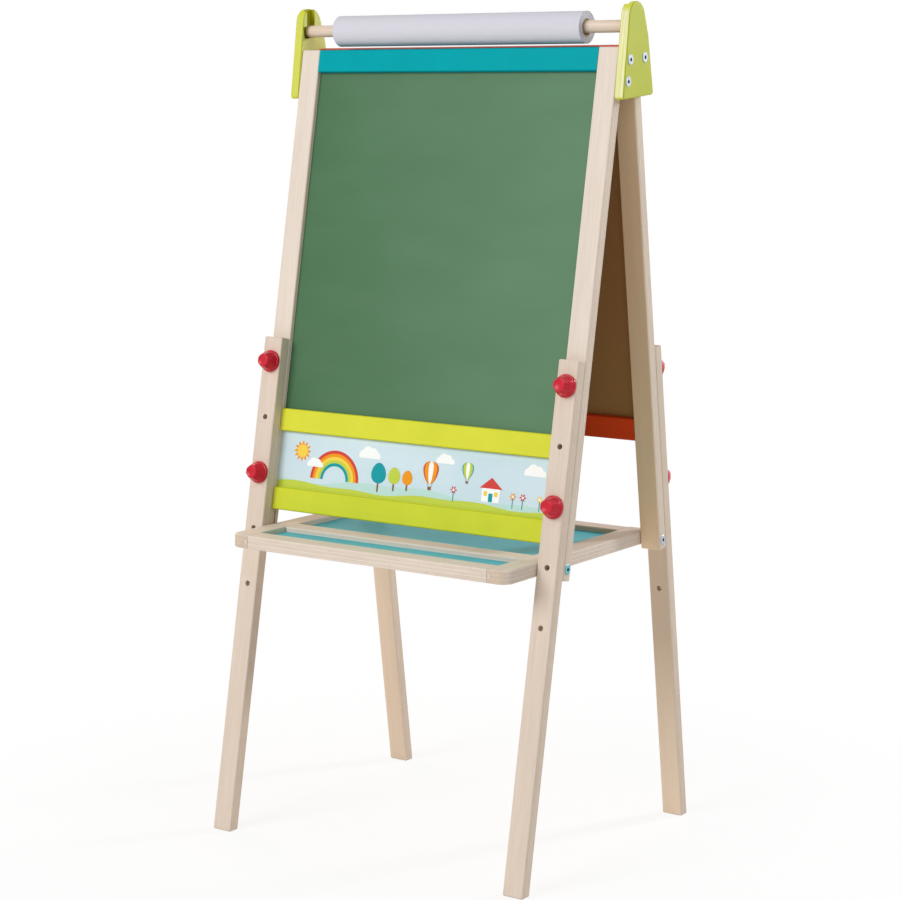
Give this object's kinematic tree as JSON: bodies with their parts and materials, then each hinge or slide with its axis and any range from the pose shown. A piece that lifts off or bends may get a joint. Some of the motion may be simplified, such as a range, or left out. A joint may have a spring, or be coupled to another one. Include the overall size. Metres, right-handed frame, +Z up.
{
  "type": "wooden artist easel",
  "caption": "Child's double-sided A-frame easel: chalkboard, whiteboard, paper roll on a dowel, storage tray and height-adjustable legs held by thumb knobs.",
  "frame": {"origin": "on the floor, midway between the four feet", "axes": "+X to the right seen from the chalkboard side, +Y from the chalkboard side to the whiteboard side, +Z up"},
  "size_m": [0.4968, 0.4099, 1.0464],
  "materials": {
    "birch_plywood": "clear satin varnish on birch plywood",
    "teal_lacquer": "satin teal lacquer on plywood",
    "lime_lacquer": "satin lime lacquer on plywood",
    "red_lacquer": "satin red-orange lacquer on plywood",
    "chalkboard_green": "matte green chalkboard paint on hardboard",
    "white_hardboard": "white melamine on hardboard",
    "printed_strip": "printed hardboard, satin",
    "teal_panel": "satin teal lacquer on hardboard",
    "beech_dowel": "sanded beech",
    "cardboard": "wound grey-brown board",
    "paper": "uncoated drawing paper",
    "red_plastic": "moulded, glossy",
    "zinc_steel": "zinc-plated steel",
    "insert_brass": "turned brass"
  },
  "bodies": {
    "front_frame": {"front_left_stile": "birch_plywood", "front_right_stile": "birch_plywood", "front_top_rail": "teal_lacquer", "front_middle_rail": "lime_lacquer", "front_bottom_rail": "lime_lacquer", "chalkboard_panel": "chalkboard_green", "picture_panel": "printed_strip", "front_rail_dowels": "beech_dowel", "front_stile_inserts": "insert_brass", "left_bracket": "lime_lacquer", "right_bracket": "lime_lacquer", "bracket_screws": "zinc_steel"},
    "back_frame": {"back_left_stile": "birch_plywood", "back_right_stile": "birch_plywood", "back_top_rail": "red_lacquer", "back_bottom_rail": "red_lacquer", "whiteboard_panel": "white_hardboard", "back_rail_dowels": "beech_dowel", "back_stile_inserts": "insert_brass", "pivot_screws": "zinc_steel", "rear_tray_bolts": "zinc_steel"},
    "front_left_leg": {"front_left_leg": "birch_plywood"},
    "front_left_upper_knob": {"front_left_upper_knob": "red_plastic", "front_left_upper_stud": "zinc_steel"},
    "front_left_lower_knob": {"front_left_lower_knob": "red_plastic", "front_left_lower_stud": "zinc_steel"},
    "front_right_leg": {"front_right_leg": "birch_plywood"},
    "front_right_upper_knob": {"front_right_upper_knob": "red_plastic", "front_right_upper_stud": "zinc_steel"},
    "front_right_lower_knob": {"front_right_lower_knob": "red_plastic", "front_right_lower_stud": "zinc_steel"},
    "back_left_leg": {"back_left_leg": "birch_plywood"},
    "back_left_upper_knob": {"back_left_upper_knob": "red_plastic", "back_left_upper_stud": "zinc_steel"},
    "back_left_lower_knob": {"back_left_lower_knob": "red_plastic", "back_left_lower_stud": "zinc_steel"},
    "back_right_leg": {"back_right_leg": "birch_plywood"},
    "back_right_upper_knob": {"back_right_upper_knob": "red_plastic", "back_right_upper_stud": "zinc_steel"},
    "back_right_lower_knob": {"back_right_lower_knob": "red_plastic", "back_right_lower_stud": "zinc_steel"},
    "tray": {"tray_left_rail": "birch_plywood", "tray_right_rail": "birch_plywood", "tray_front_rail": "birch_plywood", "tray_middle_rail": "birch_plywood", "tray_rear_rail": "birch_plywood", "tray_trough_panel": "teal_panel", "tray_main_panel": "teal_panel", "tray_rail_dowels": "beech_dowel", "tray_barrel_nuts": "zinc_steel", "front_tray_bolts": "zinc_steel"},
    "roll_dowel": {"roll_dowel": "beech_dowel"},
    "paper_roll": {"roll_core": "cardboard", "paper_roll": "paper"}
  },
  "joints": [
    {"name": "back_frame_fold", "type": "hinge", "parent": "front_frame", "child": "back_frame", "pos_m": [0, 0.02808, 0.98143], "axis": [-1, 0, 0], "range_deg": [0, 18.5]},
    {"name": "tray_swing", "type": "hinge", "parent": "front_frame", "child": "tray", "pos_m": [0, -0.11305, 0.38068], "axis": [-1, 0, 0], "range_deg": [0, 60]},
    {"name": "front_left_leg_height", "type": "slide", "parent": "front_frame", "child": "front_left_leg", "axis": [0, 0.1754, 0.9845], "range_m": [0, 0.1435]},
    {"name": "front_left_upper_knob_turn", "type": "hinge", "parent": "front_left_leg", "child": "front_left_upper_knob", "pos_m": [-0.221, -0.09899, 0.59707], "axis": [0, -0.9845, 0.1754], "continuous": true},
    {"name": "front_left_lower_knob_turn", "type": "hinge", "parent": "front_left_leg", "child": "front_left_lower_knob", "pos_m": [-0.221, -0.12415, 0.45579], "axis": [0, -0.9845, 0.1754], "continuous": true},
    {"name": "front_right_leg_height", "type": "slide", "parent": "front_frame", "child": "front_right_leg", "axis": [0, 0.1754, 0.9845], "range_m": [0, 0.1435]},
    {"name": "front_right_upper_knob_turn", "type": "hinge", "parent": "front_right_leg", "child": "front_right_upper_knob", "pos_m": [0.221, -0.09899, 0.59707], "axis": [0, -0.9845, 0.1754], "continuous": true},
    {"name": "front_right_lower_knob_turn", "type": "hinge", "parent": "front_right_leg", "child": "front_right_lower_knob", "pos_m": [0.221, -0.12415, 0.45579], "axis": [0, -0.9845, 0.1754], "continuous": true},
    {"name": "back_left_leg_height", "type": "slide", "parent": "back_frame", "child": "back_left_leg", "axis": [0, -0.1538, 0.9881], "range_m": [0, 0.1435]},
    {"name": "back_left_upper_knob_turn", "type": "hinge", "parent": "back_left_leg", "child": "back_left_upper_knob", "pos_m": [-0.221, 0.11203, 0.59889], "axis": [0, 0.9881, 0.1538], "continuous": true},
    {"name": "back_left_lower_knob_turn", "type": "hinge", "parent": "back_left_leg", "child": "back_left_lower_knob", "pos_m": [-0.221, 0.13411, 0.4571], "axis": [0, 0.9881, 0.1538], "continuous": true},
    {"name": "back_right_leg_height", "type": "slide", "parent": "back_frame", "child": "back_right_leg", "axis": [0, -0.1538, 0.9881], "range_m": [0, 0.1435]},
    {"name": "back_right_upper_knob_turn", "type": "hinge", "parent": "back_right_leg", "child": "back_right_upper_knob", "pos_m": [0.221, 0.11203, 0.59889], "axis": [0, 0.9881, 0.1538], "continuous": true},
    {"name": "back_right_lower_knob_turn", "type": "hinge", "parent": "back_right_leg", "child": "back_right_lower_knob", "pos_m": [0.221, 0.13411, 0.4571], "axis": [0, 0.9881, 0.1538], "continuous": true},
    {"name": "dowel_lift", "type": "slide", "parent": "front_frame", "child": "roll_dowel", "axis": [0, 0, 1], "range_m": [0, 0.06]},
    {"name": "paper_spin", "type": "hinge", "parent": "roll_dowel", "child": "paper_roll", "pos_m": [0, 0.00486, 1.01666], "axis": [1, 0, 0], "continuous": true}
  ]
}
